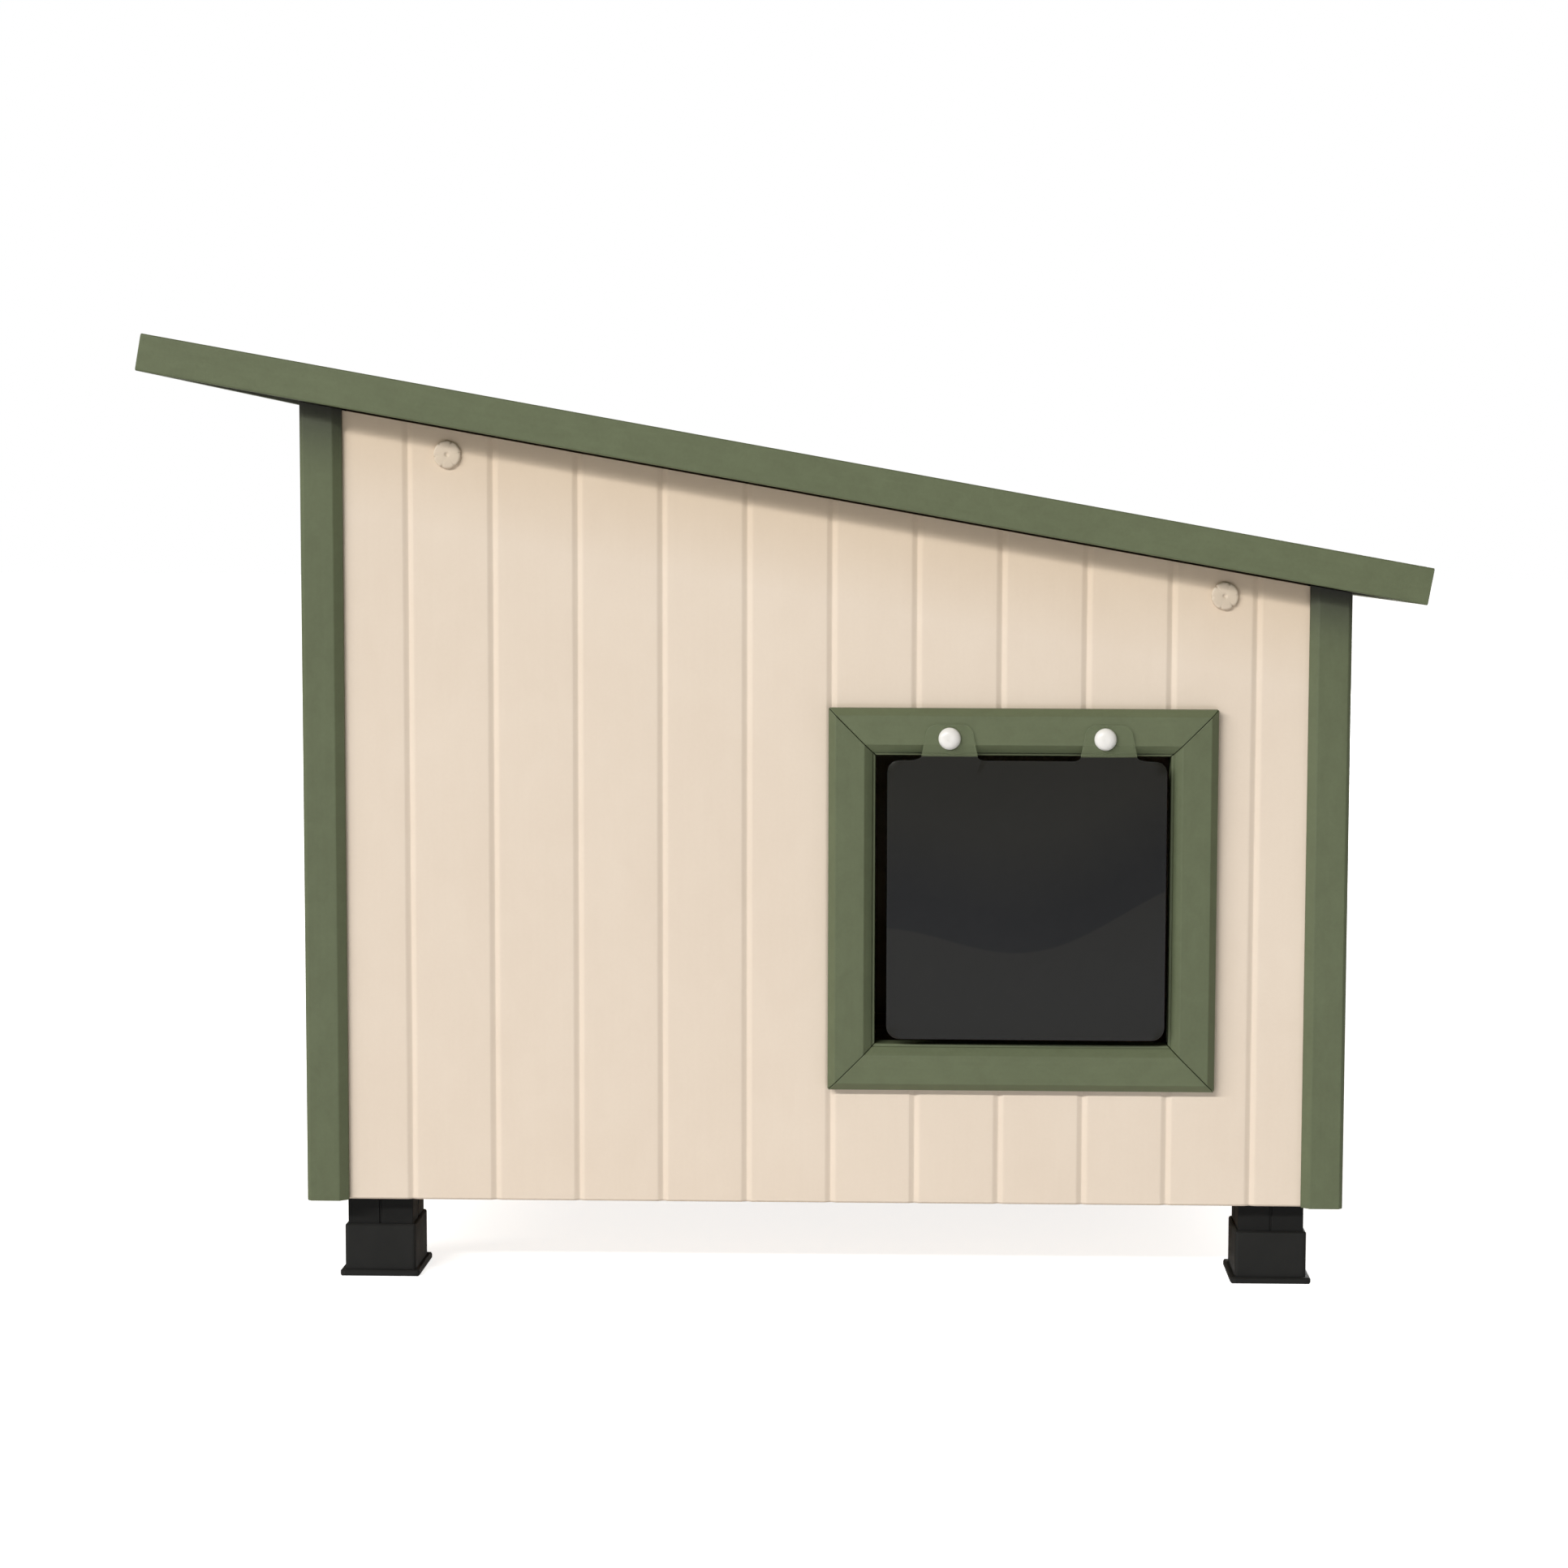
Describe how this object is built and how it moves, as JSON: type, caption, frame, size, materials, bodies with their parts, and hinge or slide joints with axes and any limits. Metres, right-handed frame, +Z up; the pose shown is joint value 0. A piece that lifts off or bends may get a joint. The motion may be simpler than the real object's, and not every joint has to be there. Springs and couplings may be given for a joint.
{
  "type": "outdoor cat house",
  "caption": "Outdoor cat house with a cabin of grooved boards, a hinged single-slope roof that lifts, a framed doorway with a clear swinging flap, and raised legs with shoes.",
  "frame": {"origin": "on the ground, under the middle of the roof's bounding box", "axes": "+X along the front from the high side to the low side, +Y from the doorway wall to the back, +Z up"},
  "size_m": [0.6928, 0.53, 0.517],
  "materials": {
    "wall_paint": "satin cream paint on grooved boards",
    "green_paint": "satin moss green paint",
    "inner_board": "bare sanded board",
    "leg_plastic": "black moulded plastic, lightly textured",
    "shoe_plastic": "black moulded plastic, soft sheen",
    "bolt_plastic": "cream moulded plastic",
    "pin_plastic": "white moulded plastic",
    "clear_sheet": "clear smoky flexible vinyl sheet",
    "roof_felt": "green mineral roofing felt",
    "zinc_steel": "bright zinc plated steel"
  },
  "bodies": {
    "cabin": {"front_panel": "wall_paint", "back_panel": "wall_paint", "high_side_panel": "wall_paint", "low_side_panel": "wall_paint", "front_high_post": "green_paint", "front_low_post": "green_paint", "back_high_post": "green_paint", "back_low_post": "green_paint", "front_top_rail": "inner_board", "back_top_rail": "inner_board", "high_top_rail": "inner_board", "low_top_rail": "inner_board", "corner_brackets": "zinc_steel", "front_bearer": "inner_board", "back_bearer": "inner_board", "high_bearer": "inner_board", "low_bearer": "inner_board", "floor_board": "inner_board", "front_high_leg": "leg_plastic", "front_low_leg": "leg_plastic", "back_high_leg": "leg_plastic", "back_low_leg": "leg_plastic", "front_high_shoe": "shoe_plastic", "front_low_shoe": "shoe_plastic", "back_high_shoe": "shoe_plastic", "back_low_shoe": "shoe_plastic", "door_head_trim": "green_paint", "door_sill_trim": "green_paint", "door_high_trim": "green_paint", "door_low_trim": "green_paint", "flap_tabs": "clear_sheet", "flap_pins": "pin_plastic", "flap_pin_caps": "pin_plastic", "rail_bolts": "bolt_plastic", "rail_nuts": "bolt_plastic", "floor_screws": "zinc_steel", "bearer_screws": "zinc_steel", "rail_screws": "zinc_steel", "bracket_screws": "zinc_steel", "high_hinge_base": "zinc_steel", "low_hinge_base": "zinc_steel", "hinge_pins": "zinc_steel", "hinge_base_screws": "zinc_steel"},
    "roof": {"roof_liner": "green_paint", "roof_rafters": "inner_board", "roof_top_board": "inner_board", "roof_felt": "roof_felt", "front_fascia": "green_paint", "back_fascia": "green_paint", "high_fascia": "green_paint", "low_fascia": "green_paint", "high_hinge_leaf": "zinc_steel", "low_hinge_leaf": "zinc_steel", "hinge_leaf_screws": "zinc_steel"},
    "flap": {"flap_panel": "clear_sheet"}
  },
  "joints": [
    {"name": "roof_lift", "type": "hinge", "parent": "cabin", "child": "roof", "pos_m": [0.02052, 0.2479, 0.42651], "axis": [-0.9848, 0, 0.1736], "range_deg": [0, 95]},
    {"name": "flap_swing", "type": "hinge", "parent": "cabin", "child": "flap", "pos_m": [0.13106, -0.25275, 0.2918], "axis": [1, 0, 0], "range_deg": [-85, 85]}
  ]
}
